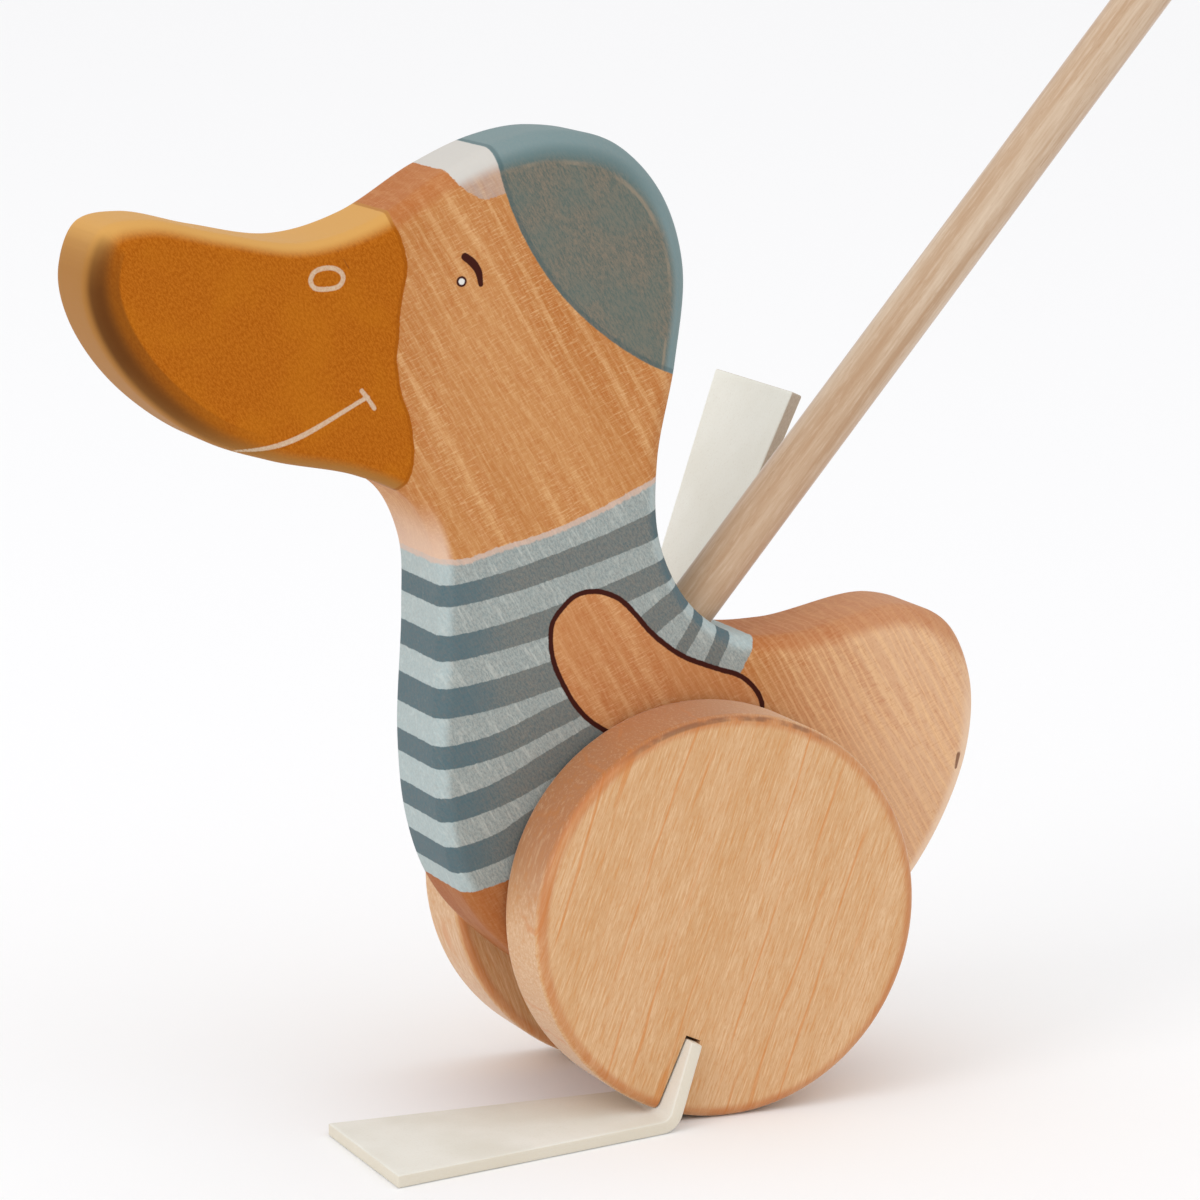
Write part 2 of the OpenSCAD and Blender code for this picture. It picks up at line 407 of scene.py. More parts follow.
def board_mesh():
    """Points and faces of the whole board, with the axle's bore through it."""
    rings = board_rings()
    count = len(rings[0])
    points = list(np.vstack(rings))
    faces = tube_faces(len(rings), count)
    bore = bore_circle()
    border = rings[0][:, [0, 2]]
    grid = grid_inside(border, bore)
    triangles = face_triangles(border, bore, grid)
    inner = np.vstack([bore, grid])
    starts = []
    for ring, side in ((0, 1), (len(rings) - 1, -1)):
        starts.append(len(points))
        points += [np.array([x, side * BOARD_T / 2, z]) for x, z in inner]
        index = [ring * count + i for i in range(count)] + [starts[-1] + i for i in range(len(inner))]
        faces += [[index[i] for i in t][::side] for t in triangles]
    for i in range(len(bore)):
        j = (i + 1) % len(bore)
        faces.append((starts[0] + i, starts[0] + j, starts[1] + j, starts[1] + i))
    return points, faces


def socket_cutter():
    """A closed cylinder on the stick's axis, from the bottom of its socket to well above the board."""
    axis = np.array(joints["stick_pull"]["axis"])
    side = np.array([0.0, 1.0, 0.0])
    up = np.cross(axis, side)
    turns = np.arange(SOCKET_SIDES) * 2 * math.pi / SOCKET_SIDES
    points = []
    for along in (-SOCKET_DEPTH, SOCKET_DEPTH):
        centre = np.array(SOCKET_MOUTH) + along * axis
        points += [centre + SOCKET_R * (math.cos(a) * side + math.sin(a) * up) for a in turns]
    ends = [tuple(range(SOCKET_SIDES))[::-1], tuple(range(SOCKET_SIDES, 2 * SOCKET_SIDES))]
    return points, tube_faces(2, SOCKET_SIDES) + ends


def outward_faces(piece):
    """Turns every face outwards."""
    shell = bmesh.new()
    shell.from_mesh(piece.data)
    bmesh.ops.recalc_face_normals(shell, faces=shell.faces)
    shell.to_mesh(piece.data)
    shell.free()


def drill(piece, cutter):
    """Cuts the cutter out of the piece, then removes it."""
    outward_faces(piece)
    outward_faces(cutter)
    cut = piece.modifiers.new("socket", "BOOLEAN")
    cut.operation = "DIFFERENCE"
    cut.solver = "EXACT"
    cut.object = cutter
    graph = bpy.context.evaluated_depsgraph_get()
    piece.data = bpy.data.meshes.new_from_object(piece.evaluated_get(graph))
    piece.modifiers.clear()
    bpy.data.objects.remove(cutter)


def store_paint(mesh):
    """Stores the distance to every painted shape, in the side plane, on the mesh."""
    points = vertex_array(mesh)[:, [0, 2]]
    line, outward, radius = duck_outline()
    inset, place = nearest(points, np.vstack([line, line[:1]]))
    at = place.astype(int) % len(radius)
    store(mesh, "rounding", 1 - inset / radius[at])
    store(mesh, "facing_up", outward[at, 1])
    store(mesh, "bill", shape(points, closed_by(BILL_EDGE, BILL_FAR)))
    store(mesh, "hat", shape(points, closed_by(HAT_EDGE, HAT_FAR)))
    store(mesh, "patch", shape(points, closed_by(PATCH_EDGE, PATCH_FAR)))
    store(mesh, "jersey", shape(points, closed_by(NECKLINE, JERSEY_FAR)))
    store(mesh, "neckline", nearest(points, smooth(NECKLINE))[0])
    store(mesh, "stripes", strokes(points, STRIPES))
    store(mesh, "wing", shape(points, smooth(WING, closed=True)))
    store(mesh, "ink", strokes(points, INK))
    store(mesh, "eye", np.linalg.norm(points - EYE_RING[:2], axis=1) - EYE_RING[2])
    nostril = shape(points, smooth(NOSTRIL, closed=True))
    store(mesh, "pale_lines", np.minimum(np.abs(nostril) - NOSTRIL_LINE, strokes(points, MOUTH)))
    store(mesh, "knots", strokes(points, KNOTS))


def duck_board():
    """The painted board, which replaces the CAD one."""
    paint = duck_paint()
    board = make_piece("painted_duck_board", *board_mesh(), paint)
    drill(board, make_piece("socket_cutter", *socket_cutter(), paint))
    finish_shading(board.data, BOARD_SHARP)
    store_paint(board.data)
    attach(board, "duck")
    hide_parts("duck_body")


# ---- Leather feet ----

def slot_frame(turn):
    """Directions across and along a slot, as X and Z, for a turn in degrees from straight up."""
    a = math.radians(turn)
    return np.array([math.cos(a), -math.sin(a)]), np.array([math.sin(a), math.cos(a)])


def straight_path(start, direction, length):
    """Points about a PATH_STEP apart along a straight line."""
    steps = max(1, round(length / PATH_STEP))
    return [start + direction * length * k / steps for k in range(steps + 1)]


def left_foot_path():
    """Middle line of the left foot: down its slot, round the bend, then along the floor."""
    across, along = slot_frame(180 + LEFT_LEAN)
    middle = BEND_R + LEATHER_T / 2
    lean = math.radians(LEFT_LEAN)
    centre_x = middle - SLOT_SHIFT
    centre_s = (axle_centre()[1] + centre_x * math.sin(lean) - BEND_R - LEATHER_T) / math.cos(lean)
    centre = axle_centre() + centre_x * across + centre_s * along
    start = axle_centre() - SLOT_SHIFT * across + FOOT_START * along
    path = straight_path(start, along, centre_s - FOOT_START)
    for turn in np.arange(LEFT_LEAN, 90, PATH_TURN)[1:]:
        a = math.radians(turn)
        path.append(centre + middle * np.array([math.cos(a), -math.sin(a)]))
    bend_length = middle * math.radians(90 - LEFT_LEAN)
    rest = LEFT_LENGTH - (centre_s - FOOT_START) - bend_length
    path += straight_path(centre + np.array([0, -middle]), np.array([-1.0, 0]), rest)
    return np.array(path)


def right_foot_path():
    """Middle line of the right foot, which curls a little once it is out of its slot."""
    across, along = slot_frame(RIGHT_LEAN)
    start = axle_centre() - SLOT_SHIFT * across + FOOT_START * along
    middles = np.arange(PATH_STEP / 2, RIGHT_LENGTH, PATH_STEP)
    lean = np.radians(np.interp(middles, *np.transpose(RIGHT_CURL)))
    steps = np.stack([np.sin(lean), np.cos(lean)], axis=1) * PATH_STEP
    return start + np.vstack([[0, 0], np.cumsum(steps, axis=0)])


def strap_section(width, inset):
    """A rounded rectangle as (across, through) from the strap's inner edge, smaller by inset all round."""
    corner = max(LEATHER_ROUND - inset, LEAST_ROUND)
    half_w, half_t = width / 2 - inset - corner, LEATHER_T / 2 - inset - corner
    section = []
    for quarter, (side_w, side_t) in enumerate(((1, 1), (-1, 1), (-1, -1), (1, -1))):
        for turn in np.linspace(0, 90, CORNER_POINTS) + 90 * quarter:
            a = math.radians(turn)
            section.append((side_w * half_w + corner * math.cos(a), side_t * half_t + corner * math.sin(a)))
        if quarter in (0, 2):  # points along a broad face, from this corner to the next
            section += [(side_w * share * half_w, side_t * (half_t + corner))
                        for share in np.linspace(1, -1, FACE_POINTS)[1:-1]]
    return [(width / 2 + across, through) for across, through in section]


def strap_stations(path):
    """Place, outward direction, length used and inset of every section along a strap."""
    along = np.gradient(path, axis=0)
    along /= np.linalg.norm(along, axis=1)[:, None]
    out = np.stack([-along[:, 1], along[:, 0]], axis=1)
    used = np.concatenate([[0], np.cumsum(np.linalg.norm(np.diff(path, axis=0), axis=1))])
    first, last = [], []
    for turn in END_TURNS:
        inset = LEATHER_ROUND * (1 - math.sin(math.radians(turn)))
        shift = LEATHER_ROUND * (1 - math.cos(math.radians(turn)))
        first.append((path[0] + along[0] * shift, out[0], shift, inset))
        last.append((path[-1] - along[-1] * shift, out[-1], used[-1] - shift, inset))
    return first + list(zip(path, out, used, [0.0] * len(path)))[1:-1] + last[::-1]


def strap(name, path, side, material):
    """A leather strap with softened edges along a path. The side is +1 or -1, the wheel's side in Y."""
    stations = strap_stations(path)
    points, flat = [], []
    for at, out, length, inset in stations:
        for across, through in strap_section(FOOT_W + FOOT_FLARE * length, inset):
            x, z = at + out * through
            points.append((x, side * (FOOT_IN + across), z))
            flat.append((length, across, through))
    count = len(points) // len(stations)
    faces = tube_faces(len(stations), count)
    faces += [tuple(range(count)), tuple(range(len(points) - count, len(points)))]
    piece = make_piece(name, points, faces, material)
    outward_faces(piece)
    finish_shading(piece.data, STRAP_SHARP)
    store(piece.data, "flat_place", flat)
    return piece


def leather_feet():
    """Both feet, in their rest shapes, in place of the CAD ones."""
    cream = leather_material("cream_leather", srgb(226, 223, 212), srgb(236, 234, 226),
                             cut=srgb(221, 211, 192))
    # The right foot gets a copy of the cream leather with painted light: paler faces, and cut edges
    # darkened with painted shade.
    paler = leather_material("cream_leather_painted_light", srgb(244, 243, 232), srgb(250, 250, 241),
                             cut=srgb(168, 148, 126))
    left = strap("leather_foot_left", left_foot_path(), -1, cream)
    right = strap("leather_foot_right", right_foot_path(), 1, paler)
    for piece, node, body, joint, turn in (
        (left, "foot_left", "left_strap", "left_foot_flex", 180 + LEFT_LEAN),
        (right, "foot_right", "right_strap", "right_foot_flex", RIGHT_LEAN),
    ):
        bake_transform(piece)
        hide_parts(node)


# ---- Shader nodes ----

def srgb(red, green, blue):
    """A colour given as 0 to 255, as the linear values that Blender's nodes take."""
    return tuple((c / 255 / 12.92) if c <= 10 else ((c / 255 + 0.055) / 1.055) ** 2.4
                 for c in (red, green, blue)) + (1.0,)


class Value:
    """A number that a node gives, so that a shader can be written as sums."""

    def __init__(self, shader, socket):
        self.shader = shader
        self.socket = socket

    def __add__(self, other):
        return self.shader.math("ADD", self, other)

    def __sub__(self, other):
        return self.shader.math("SUBTRACT", self, other)

    def __mul__(self, other):
        return self.shader.math("MULTIPLY", self, other)

    def __rsub__(self, other):
        return self.shader.math("SUBTRACT", other, self)

    __radd__ = __add__
    __rmul__ = __mul__


class Shader:
    """A material with one Principled shader, and short names for the nodes that feed it."""

    def __init__(self, name, **fixed):
        self.material = bpy.data.materials.new(name)
        self.material.use_nodes = True
        self.tree = self.material.node_tree
        self.surface = self.tree.nodes["Principled BSDF"]
        for socket, value in fixed.items():
            self.surface.inputs[socket.replace("_", " ")].default_value = value

    def node(self, kind, inputs=(), **settings):
        """A node with the given settings, and the given inputs linked or fixed."""
        node = self.tree.nodes.new("ShaderNode" + kind)
        for name, value in settings.items():
            setattr(node, name, value)
        for name, value in dict(inputs).items():
            self.plug(node.inputs[name], value)
        return node

    def plug(self, socket, value):
        """Links a node's value to a socket, or gives the socket a fixed one."""
        if isinstance(value, Value):
            self.tree.links.new(value.socket, socket)
        else:
            socket.default_value = value

    def math(self, operation, *values):
        node = self.node("Math", dict(enumerate(values)), operation=operation)
        return Value(self, node.outputs[0])

    def stored(self, name):
        """A number kept on the mesh by store()."""
        return Value(self, self.node("Attribute", attribute_name=name).outputs["Fac"])

    def split(self, socket):
        """The three parts of a vector."""
        node = self.node("SeparateXYZ", {"Vector": Value(self, socket)})
        return [Value(self, output) for output in node.outputs]

    def place(self):
        """X, Y and Z on the piece at rest, in millimetres."""
        return [c * (1 / MM) for c in self.split(self.node("TexCoord").outputs["Object"])]

    def noise(self, x, y, z, detail=2.0, roughness=0.5):
        """Noise from 0 to 1, with features about one unit across."""
        where = self.node("CombineXYZ", {0: x, 1: y, 2: z}).outputs[0]
        node = self.node("TexNoise", {"Vector": Value(self, where), "Scale": 1.0, "Detail": detail,
                                      "Roughness": roughness})
        return Value(self, node.outputs[0])

    def ramp(self, value, low, high):
        """0 below low and 1 above high, with a soft step between them. High may be the lower one."""
        node = self.node("MapRange", {"Value": value, "From Min": low, "From Max": high},
                         interpolation_type="SMOOTHSTEP")
        return Value(self, node.outputs[0])

    def within(self, distance, soft=0.12):
        """1 inside a painted shape and 0 outside it."""
        return self.ramp(distance, soft, -soft)

    def mix(self, share, a, b):
        """Colour a with a share of colour b."""
        node = self.node("Mix", data_type="RGBA")
        self.plug(node.inputs["Factor"], share)
        self.plug(node.inputs[6], a)
        self.plug(node.inputs[7], b)
        return Value(self, node.outputs[2])

    def finish(self, colour, roughness, height):
        """Feeds the shader."""
        bump = self.node("Bump", {"Height": height, "Strength": BUMP_STRENGTH,
                                  "Distance": BUMP_UNIT * MM})
        self.plug(self.surface.inputs["Base Color"], colour)
        self.plug(self.surface.inputs["Roughness"], roughness)
        self.plug(self.surface.inputs["Normal"], Value(self, bump.outputs[0]))
        return self.material


# ---- Wood ----

def turned(x, z, degrees):
    """Distances along and across a grain that runs at an angle above +X."""
    c, s = math.cos(math.radians(degrees)), math.sin(math.radians(degrees))
    return x * c + z * s, z * c - x * s


def end_grain(sh, degrees):
    """How squarely the surface cuts a grain that runs at an angle above +X, from 0 to 1."""
    normal_x, _, normal_z = sh.split(sh.node("TexCoord").outputs["Normal"])
    facing, _ = turned(normal_x, normal_z, degrees)
    return facing * facing


def growth(sh, along, across, y, spacing, seed=0.0):
    """Growth lines as a wave from -1 to 1 across the grain, about a spacing apart and never quite even."""
    wander = sh.noise(along * 0.01 + seed, across * 0.07, y * 0.04 + seed, 3) * 12.0
    return sh.math("SINE", (across + wander) * (2 * math.pi / spacing))


def board_wood(sh, x, y, z):
    """Colour and height of the duck's oiled board: pale growth lines under a weave of fine fibres."""
    along, across = turned(x, z, BOARD_GRAIN)
    ray_along, ray_across = turned(x, z, BOARD_RAYS)
    lines = growth(sh, along, across, y, 4.4)
    finer = growth(sh, along, across, y, 1.7, 4.0)
    broad = sh.noise(along * 0.015 + 7.0, across * 0.06, y * 0.06, 3)
    fibre = sh.noise(along * 0.4, across * 2.6, y * 1.2, 3, 0.7)
    rays = sh.noise(ray_along * 0.4, ray_across * 2.8, y * 1.2, 3, 0.7)
    patches = sh.ramp(sh.noise(along * 0.04, across * 0.1, y * 0.05 + 3.0, 3), 0.35, 0.65)
    colour = sh.mix(sh.ramp(broad, 0.3, 0.7), srgb(186, 122, 66), srgb(200, 142, 88))
    colour = sh.mix(sh.ramp(x, 5.0, 50.0) * 0.75, colour, srgb(230, 192, 158))
    colour = sh.mix(sh.ramp(lines, 0.55, 1.0) * (patches * 0.2 + 0.08), colour, srgb(240, 196, 142))
    colour = sh.mix(sh.ramp(lines, 0.3, -0.9) * (patches * 0.15 + 0.05), colour, srgb(182, 100, 44))
    tail = sh.ramp(x, 0.0, 35.0)
    colour = sh.mix(sh.ramp(finer, 0.2, 1.0) * (tail * 0.32 + 0.1), colour, srgb(240, 198, 150))
    weave = 0.8 - tail * 0.2
    colour = sh.mix(sh.ramp(fibre, 0.5, 0.7) * weave * 0.5, colour, srgb(178, 100, 46))
    colour = sh.mix(sh.ramp(fibre, 0.5, 0.3) * weave * 0.3, colour, srgb(240, 198, 146))
    weave = weave * (patches * 0.3 + 0.25)
    colour = sh.mix(sh.ramp(rays, 0.5, 0.7) * weave, colour, srgb(180, 102, 48))
    colour = sh.mix(sh.ramp(rays, 0.5, 0.3) * weave, colour, srgb(242, 202, 152))
    height = fibre * 0.03 + rays * 0.03
    return colour, height


def rim_marks(sh, x, z):
    """Shares of a wheel's marks: the ring by its edge, painted shade on the upper-left of its tread, and
    the wear at its top.
    """
    centre_x, centre_z = axle_centre()
    towards, aside = turned(x - centre_x, z - centre_z, TREAD_SHADE)
    radius = sh.math("SQRT", towards * towards + aside * aside)
    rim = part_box("wheel_left")[1].z / MM - centre_z
    ring = sh.ramp(radius, rim - 2.8, rim - 1.3) * sh.ramp(radius, rim - 0.05, rim - 0.6)
    tread = sh.ramp(radius, rim - 1.0, rim - 0.3) * sh.ramp(radius, rim + 2.0, rim + 1.0)
    # Painted shade over the upper-left part of the tread.
    tread_shade = tread * sh.ramp(towards, rim * 0.5, rim * 0.95)
    worn = sh.ramp(radius, rim - 1.5, rim - 1.0) * sh.ramp(radius, rim - 0.15, rim - 0.6)
    top = sh.ramp(z, centre_z + rim * 0.76, centre_z + rim * 0.93)
    return ring, tread_shade, worn * top


def pale_wood(name, degrees, seed):
    """Pale wood with short dark dashes along its grain, and a wheel's marks where its rim would be, painted
    shade on its tread among them.
    """
    sh = Shader(name, Specular_IOR_Level=0.4, Sheen_Weight=0.25, Sheen_Roughness=0.4)
    x, y, z = sh.place()
    along, across = turned(x, z, degrees)
    dashes = sh.noise(along * 0.16 + seed, across * 2.8, y * 1.0, 3, 0.75)
    grains = sh.noise(along * 0.8, across * 4.5, y * 3.0 + seed, 2)
    broad = sh.noise(along * 0.012 + seed, across * 0.12, y * 0.05, 3)
    pores = sh.noise(x * 1.6, y * 2.4 + seed, z * 1.6, 4, 0.8)
    rubbed = sh.ramp(sh.noise(x * 0.3, y * 0.3, z * 0.3 + seed, 3, 0.6), 0.3, 0.6)
    lines = growth(sh, along, across, y, 5.2, seed)
    broken = sh.ramp(sh.noise(along * 0.03, across * 0.25, y * 0.05 + seed, 2), 0.45, 0.6)
    end = end_grain(sh, degrees)
    ring, tread_shade, worn = rim_marks(sh, x, z)
    colour = sh.mix(sh.ramp(broad, 0.2, 0.8), srgb(208, 160, 110), srgb(218, 176, 132))
    # Painted shade on the upper-left of the tread.
    colour = sh.mix(tread_shade * 0.8, colour, srgb(180, 110, 60))
    colour = sh.mix(sh.ramp(dashes, 0.5, 0.65) * 0.6, colour, srgb(206, 138, 68))
    colour = sh.mix(sh.ramp(dashes, 0.5, 0.35) * 0.4, colour, srgb(240, 206, 164))
    colour = sh.mix(sh.ramp(lines, 0.9, 1.0) * broken * 0.6, colour, srgb(208, 128, 52))
    colour = sh.mix(sh.ramp(grains, 0.52, 0.7) * 0.4, colour, srgb(196, 134, 76))
    colour = sh.mix(end * 0.06, colour, srgb(186, 126, 76))
    colour = sh.mix(end * sh.ramp(pores, 0.45, 0.7) * 0.3, colour, srgb(160, 94, 48))
    # More painted shade on the upper-left of the tread.
    colour = sh.mix(tread_shade * 0.35, colour, srgb(166, 98, 50))
    colour = sh.mix(ring * (0.5 + broken * 0.2), colour, srgb(190, 112, 52))
    colour = sh.mix(worn * rubbed * 0.65, colour, srgb(112, 72, 48))
    return sh.finish(colour, 0.45 + dashes * 0.12, dashes * 0.05 + grains * 0.02)


def dowel_material():
    """Plain sanded dowel, streaked along its length."""
    sh = Shader("dowel_wood", Specular_IOR_Level=0.25, Sheen_Weight=0.85, Sheen_Roughness=0.35)
    x, y, z = sh.place()
    tilt = math.degrees(math.asin(joints["stick_pull"]["axis"][2]))
    along, across = turned(x, z, tilt)
    streak = sh.noise(along * 0.012, across * 0.45, y * 0.45, 3, 0.6)
    fine = sh.noise(along * 0.2, across * 1.8, y * 1.8, 3, 0.6)
    speck = sh.noise(along * 0.35, across * 1.6, y * 1.6, 2)
    low = sh.ramp(along, 160.0, 60.0)
    colour = sh.mix(sh.ramp(streak, 0.3, 0.7), srgb(186, 153, 122), srgb(212, 189, 164))
    colour = sh.mix(low * 0.5, colour, srgb(194, 153, 116))
    colour = sh.mix(sh.ramp(fine, 0.5, 0.75) * 0.35, colour, srgb(184, 144, 108))
    colour = sh.mix(sh.ramp(fine, 0.5, 0.3) * 0.2, colour, srgb(236, 216, 194))
    colour = sh.mix(sh.ramp(speck, 0.6, 0.75) * 0.25, colour, srgb(172, 130, 94))
    return sh.finish(colour, 0.55 + fine * 0.1, fine * 0.05 + streak * 0.03)


def leather_material(name, dark, pale, cut):
    """Leather with a fine even grain and faint clouds of tone, and the given colour on the cut edges."""
    sh = Shader(name, Specular_IOR_Level=0.25)
    place = sh.node("Attribute", attribute_name="flat_place").outputs["Vector"]
    along, across, through = sh.split(place)
    clouds = sh.noise(along * 0.05, across * 0.05, through * 0.1, 3)
    pores = sh.noise(along * 2.2, across * 2.2, through * 2.2, 2)
    fibre = sh.noise(along * 1.2, across * 1.2, through * 6.0, 3)
    edge = sh.ramp(sh.math("ABSOLUTE", through), LEATHER_T / 2 - 0.02, LEATHER_T / 2 - 0.3)
    colour = sh.mix(sh.ramp(clouds, 0.3, 0.7), dark, pale)
    colour = sh.mix(sh.ramp(pores, 0.5, 0.8) * 0.25, colour, srgb(216, 208, 192))
    colour = sh.mix(edge * (fibre * 0.5 + 0.5), colour, cut)
    return sh.finish(colour, 0.62 + pores * 0.12, pores * 0.05 + edge * fibre * 0.15)


# ---- Paint on the board ----

def bill_paint(sh, x, rounding, mottle, clouds):
    """Orange glaze, thinner and golden over the rounded edge, with a painted highlight where that edge
    faces up and painted shade in dark brown under the tip.
    """
    face = sh.mix(mottle, srgb(164, 86, 8), srgb(188, 108, 26))
    face = sh.mix(sh.ramp(clouds, 0.4, 0.7) * 0.3, face, srgb(192, 116, 22))
    upper = sh.stored("facing_up")
    # Painted highlight: the golden edge is lighter where it faces up.
    gold = sh.mix(sh.ramp(upper, 0.1, 0.8), srgb(168, 116, 56), srgb(212, 160, 88))
    colour = sh.mix(sh.ramp(rounding, 0.25, 0.85), face, gold)
    # Painted shade: dark brown over the rounded edge under the tip, where it faces down, with a line of it
    # where that edge meets the face.
    under_tip = sh.ramp(upper, 0.95, -0.1) * sh.ramp(x, -80.0, -116.0)
    tip_shade_line = sh.ramp(rounding, -0.05, 0.05) * sh.ramp(rounding, 0.95, 0.6) * under_tip
    colour = sh.mix(tip_shade_line * 0.7, colour, srgb(124, 70, 20))
    brown = sh.ramp(rounding, 0.15, 0.6) * sh.ramp(rounding, 1.0, 0.8) * under_tip
    return sh.mix(brown * (0.65 + clouds * 0.3), colour, srgb(88, 50, 20))


def hat_paint(sh, rounding, mottle, clouds):
    """Grey-brown wash with teal in it, lighter and bluer over the rounded top edge, partly as a painted
    highlight, and rubbed thin where that edge begins.
    """
    colour = sh.mix(mottle, srgb(94, 104, 98), srgb(136, 124, 108))
    colour = sh.mix(sh.ramp(clouds, 0.4, 0.65) * 0.4, colour, srgb(98, 114, 108))
    # Partly a painted highlight: the wash turns lighter and bluer over the rounded top edge.
    colour = sh.mix(sh.ramp(rounding, 0.05, 0.5) * 0.75, colour, srgb(130, 154, 158))
    band = sh.ramp(rounding, 0.08, 0.25) * sh.ramp(rounding, 0.75, 0.4)
    colour = sh.mix(band * sh.ramp(sh.stored("facing_up"), 0.3, 0.9) * 0.5, colour, srgb(84, 108, 108))
    rubbed = sh.ramp(rounding, 0.0, 0.06) * sh.ramp(rounding, 0.2, 0.1) * sh.ramp(clouds, 0.4, 0.6)
    return sh.mix(rubbed * 0.45, colour, srgb(168, 148, 126))


def jersey_paint(sh, x, rounding, mottle, brush, rough_edge):
    """Pale blue-grey stripes between dark ones, which turn slate blue towards the breast."""
    light = sh.mix(mottle, srgb(138, 150, 150), srgb(168, 177, 174))
    light = sh.mix(sh.ramp(brush, 0.5, 0.7) * 0.5, light, srgb(202, 208, 202))
    light = sh.mix(rounding * 0.5, light, srgb(192, 210, 212))
    dark = sh.mix(mottle, srgb(96, 110, 112), srgb(124, 128, 124))
    front = sh.math("MAXIMUM", rounding, sh.ramp(x, -36.0, -48.0))
    dark = sh.mix(front * 0.75, dark, srgb(78, 108, 118))
    dark = sh.mix(sh.ramp(brush, 0.55, 0.8) * 0.3, dark, srgb(140, 148, 146))
    colour = sh.mix(sh.within(sh.stored("stripes") + rough_edge * 0.8), light, dark)
    border = sh.within(sh.stored("neckline") + rough_edge * 1.8 - 1.1, 0.25)
    return sh.mix(border * (0.35 + brush * 0.6), colour, srgb(224, 186, 164))


def wood_stain_and_painted_light(sh, wood, x, z, rounding):
    """The bare wood: browner over the upper rounded edges, with a painted highlight along the tail's
    rounded rim, painted shade low under the front of the jersey and a painted sheen over the front of the
    neck.
    """
    up = sh.stored("facing_up")
    colour = sh.mix(rounding * (sh.ramp(up, 0.2, 0.8) * 0.45 + 0.1), wood, srgb(176, 102, 56))
    # Painted highlight: paler along the tail's rounded edge where it turns away from the top.
    rim = rounding * sh.ramp(up, 0.5, -0.3) * sh.ramp(x, 30.0, 50.0)
    colour = sh.mix(rim * 0.8, colour, srgb(238, 208, 180))
    # Painted shade: darker low on the face under the front of the jersey.
    below = sh.ramp(x, -15.0, -32.0) * sh.ramp(z, 62.0, 48.0)
    colour = sh.mix(below * 0.55, colour, srgb(146, 70, 30))
    # Painted sheen: paler over the rounded front of the neck.
    neck = rounding * sh.ramp(sh.stored("neckline"), 13.0, 0.0) * sh.ramp(x, -45.0, -50.0)
    return sh.mix(neck * 0.65, colour, srgb(234, 208, 188))


def drawn_details(sh, colour, wing, fine_edge):
    """Knots in the wood, pale lines on the bill, the wing's outline and the eye."""
    colour = sh.mix(sh.within(sh.stored("knots")) * 0.75, colour, srgb(96, 48, 24))
    pale = sh.within(sh.stored("pale_lines") + fine_edge * 0.3)
    colour = sh.mix(pale * (0.7 + fine_edge * 0.8), colour, srgb(216, 197, 172))
    outline = sh.math("ABSOLUTE", wing) - WING_LINE
    ink = sh.math("MINIMUM", sh.math("MINIMUM", sh.stored("ink"), sh.stored("eye")), outline)
    colour = sh.mix(sh.within(ink + fine_edge * 0.15), colour, srgb(64, 28, 22))
    white = sh.stored("eye") + (EYE_RING[2] - EYE_WHITE_R)
    return sh.mix(sh.within(white + fine_edge * 0.2), colour, srgb(226, 224, 218))


def duck_paint():
    """Oiled wood under thin brushed paint, which lets the grain through."""
    sh = Shader("painted_wood", Specular_IOR_Level=0.1, IOR=1.3)
    x, y, z = sh.place()
    wood, height = board_wood(sh, x, y, z)
    rounding = sh.stored("rounding")
    turned_over = sh.ramp(rounding, 0.05, 0.6)
    wood = wood_stain_and_painted_light(sh, wood, x, z, turned_over)
    along, across = turned(x, z, BOARD_GRAIN)
    wobble = sh.noise(x * 0.9, y * 0.5, z * 0.9, 2) - 0.5
    fine_edge = sh.noise(x * 3.0, y * 3.0, z * 3.0, 2) - 0.5
    rough_edge = wobble * 0.5 + fine_edge * 0.3
    speckle = sh.noise(along * 1.3, across * 2.6, y * 1.6, 4, 0.8)
    mottle = sh.ramp(speckle, 0.38, 0.62)
    flecks = sh.ramp(sh.noise(along * 0.9, across * 3.0, y * 1.8, 4, 0.8), 0.34, 0.66)
    brush = sh.noise(along * 0.2, across * 1.4, y * 0.6, 4, 0.65)
    clouds = sh.noise(x * 0.11, y * 0.06, z * 0.11, 3)

    distance = sh.stored("bill") + rough_edge * 0.5
    colour = sh.mix(sh.within(distance), wood, bill_paint(sh, x, rounding, mottle, clouds))
    border = sh.ramp(sh.math("ABSOLUTE", distance + 0.3), 0.5, 0.15)
    colour = sh.mix(border * 0.5, colour, srgb(148, 76, 8))

    patch = sh.mix(brush * 0.5 + 0.22, wood, srgb(178, 178, 178))
    # Partly a painted highlight: the patch is lighter over the rounded top edge.
    patch = sh.mix(turned_over * 0.8, patch, srgb(212, 213, 208))
    colour = sh.mix(sh.within(sh.stored("patch") + rough_edge * 1.4), colour, patch)

    distance = sh.stored("hat") + rough_edge * 0.4
    colour = sh.mix(sh.within(distance), colour, hat_paint(sh, rounding, flecks, clouds))
    border = sh.ramp(sh.math("ABSOLUTE", distance + 0.5), 0.7, 0.2)
    colour = sh.mix(border * 0.4, colour, srgb(60, 86, 92))

    jersey = jersey_paint(sh, x, turned_over, mottle, brush, rough_edge)
    jersey = sh.mix(sh.ramp(height, 0.02, 0.045) * 0.12, jersey, wood)
    wing = sh.stored("wing") + wobble * 0.2
    painted = sh.within(sh.stored("jersey") + rough_edge * 1.2) * sh.ramp(wing, -0.3, 0.3)
    colour = sh.mix(painted, colour, jersey)
    colour = sh.mix(sh.within(wing) * 0.2, colour, srgb(196, 124, 92))

    colour = drawn_details(sh, colour, wing, fine_edge)
    return sh.finish(colour, 0.55 - turned_over * 0.1 + speckle * 0.08, height + speckle * 0.02)


# ---- Carried-over nodes ----

def dress(node, material):
    """Gives a CAD node the material."""
    for slot in frame["nodes"][node].material_slots:
        slot.material = material


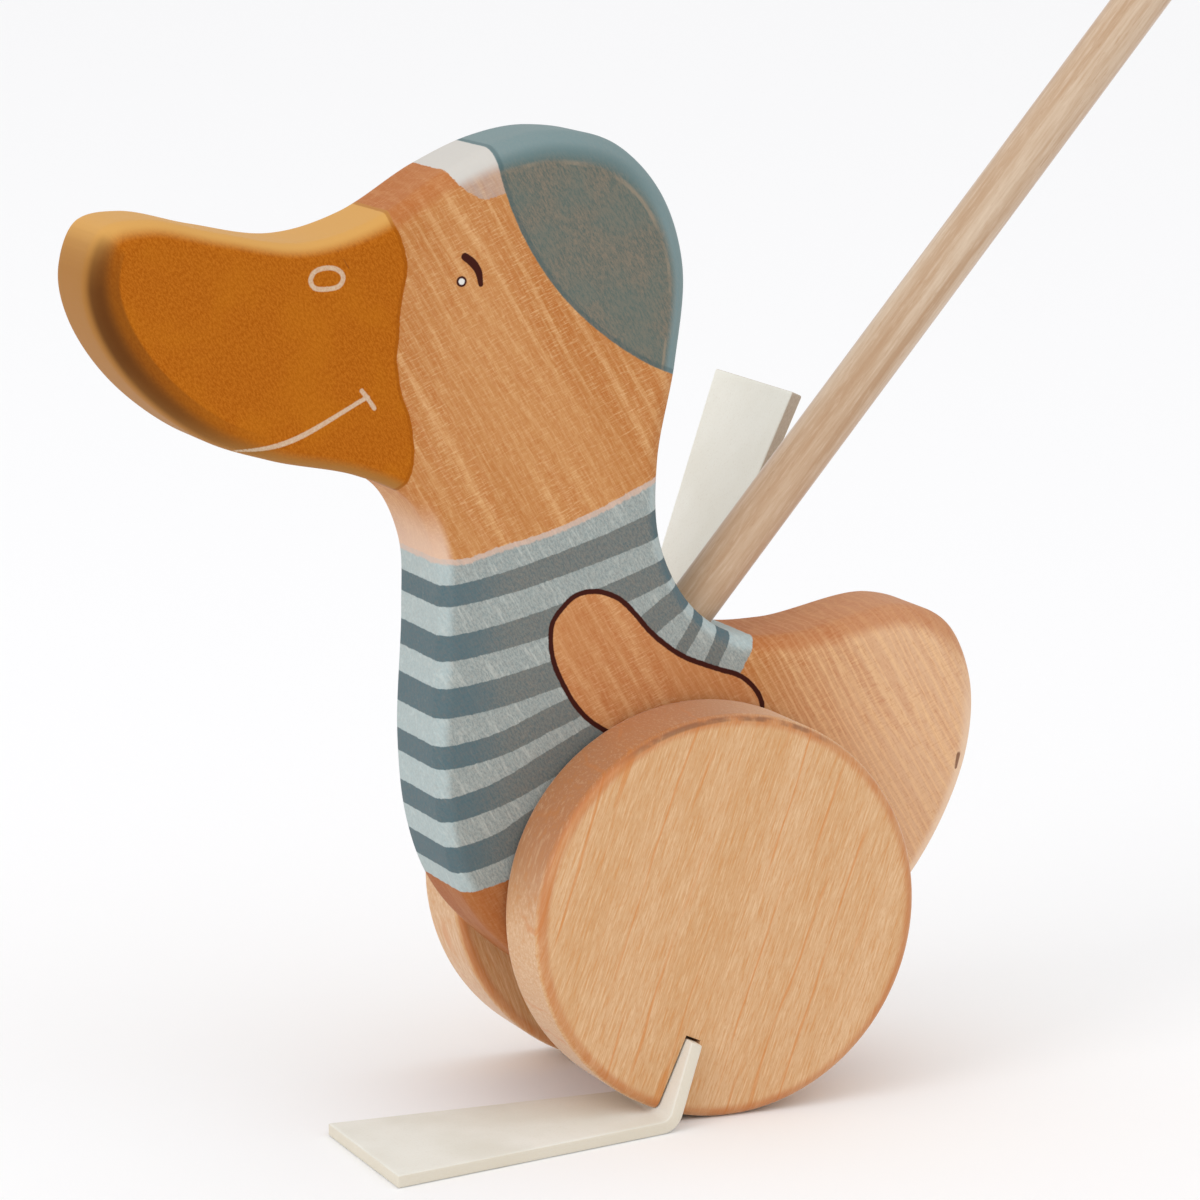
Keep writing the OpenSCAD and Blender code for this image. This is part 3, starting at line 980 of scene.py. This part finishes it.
def wooden_parts():
    """The grain of each part runs at its own angle, in degrees above +X."""
    dress("wheel_left", pale_wood("wheel_wood_left", 70, 0.0))
    dress("wheel_right", pale_wood("wheel_wood_right", 110, 5.0))
    dress("stick_knob", pale_wood("knob_wood", 50, 11.0))
    dowel = dowel_material()
    dress("axle", dowel)
    dress("push_stick", dowel)


# ---- Studio ----

def add_camera():
    """The photograph's viewing angle."""
    data = bpy.data.cameras.new("camera")
    data.lens = LENS
    data.sensor_width = SENSOR_WIDTH
    camera = bpy.data.objects.new("camera", data)
    camera.location = Vector(CAMERA_AT) * MM
    camera.rotation_euler = (math.radians(90 - CAMERA_DOWN), 0, math.radians(CAMERA_TURN))
    bpy.context.scene.collection.objects.link(camera)
    bpy.context.scene.camera = camera


def add_floor():
    """A plain pale floor."""
    half = FLOOR_SIZE / 2 / MM
    corners = [(-half, -half, -FLOOR_DROP), (half, -half, -FLOOR_DROP), (half, half, -FLOOR_DROP),
               (-half, half, -FLOOR_DROP)]
    sh = Shader("floor", Base_Color=srgb(250, 250, 251), Roughness=0.9, Specular_IOR_Level=0.1)
    make_piece("floor", corners, [(0, 1, 2, 3)], sh.material)


def add_light(name, kind, at, power):
    """A light at a place in metres that points at the origin."""
    data = bpy.data.lights.new(name, kind)
    data.energy = power
    light = bpy.data.objects.new(name, data)
    light.location = at
    light.rotation_euler = (-Vector(at)).to_track_quat("-Z", "Y").to_euler()
    bpy.context.scene.collection.objects.link(light)
    return data


def add_studio():
    """A pale sky, a wide soft light from above and a small one from the front."""
    world = bpy.data.worlds.new("studio")
    world.use_nodes = True
    background = world.node_tree.nodes["Background"]
    background.inputs["Color"].default_value = SKY_COLOUR
    background.inputs["Strength"].default_value = SKY_POWER
    bpy.context.scene.world = world
    add_light("key", "SUN", KEY_FROM, KEY_POWER).angle = math.radians(KEY_WIDTH)
    add_light("fill", "AREA", FILL_AT, FILL_POWER).size = FILL_SIZE
    bpy.context.scene.view_settings.view_transform = "Standard"


add_camera()
add_studio()
add_floor()
duck_board()
leather_feet()
wooden_parts()

bpy.context.view_layer.update()
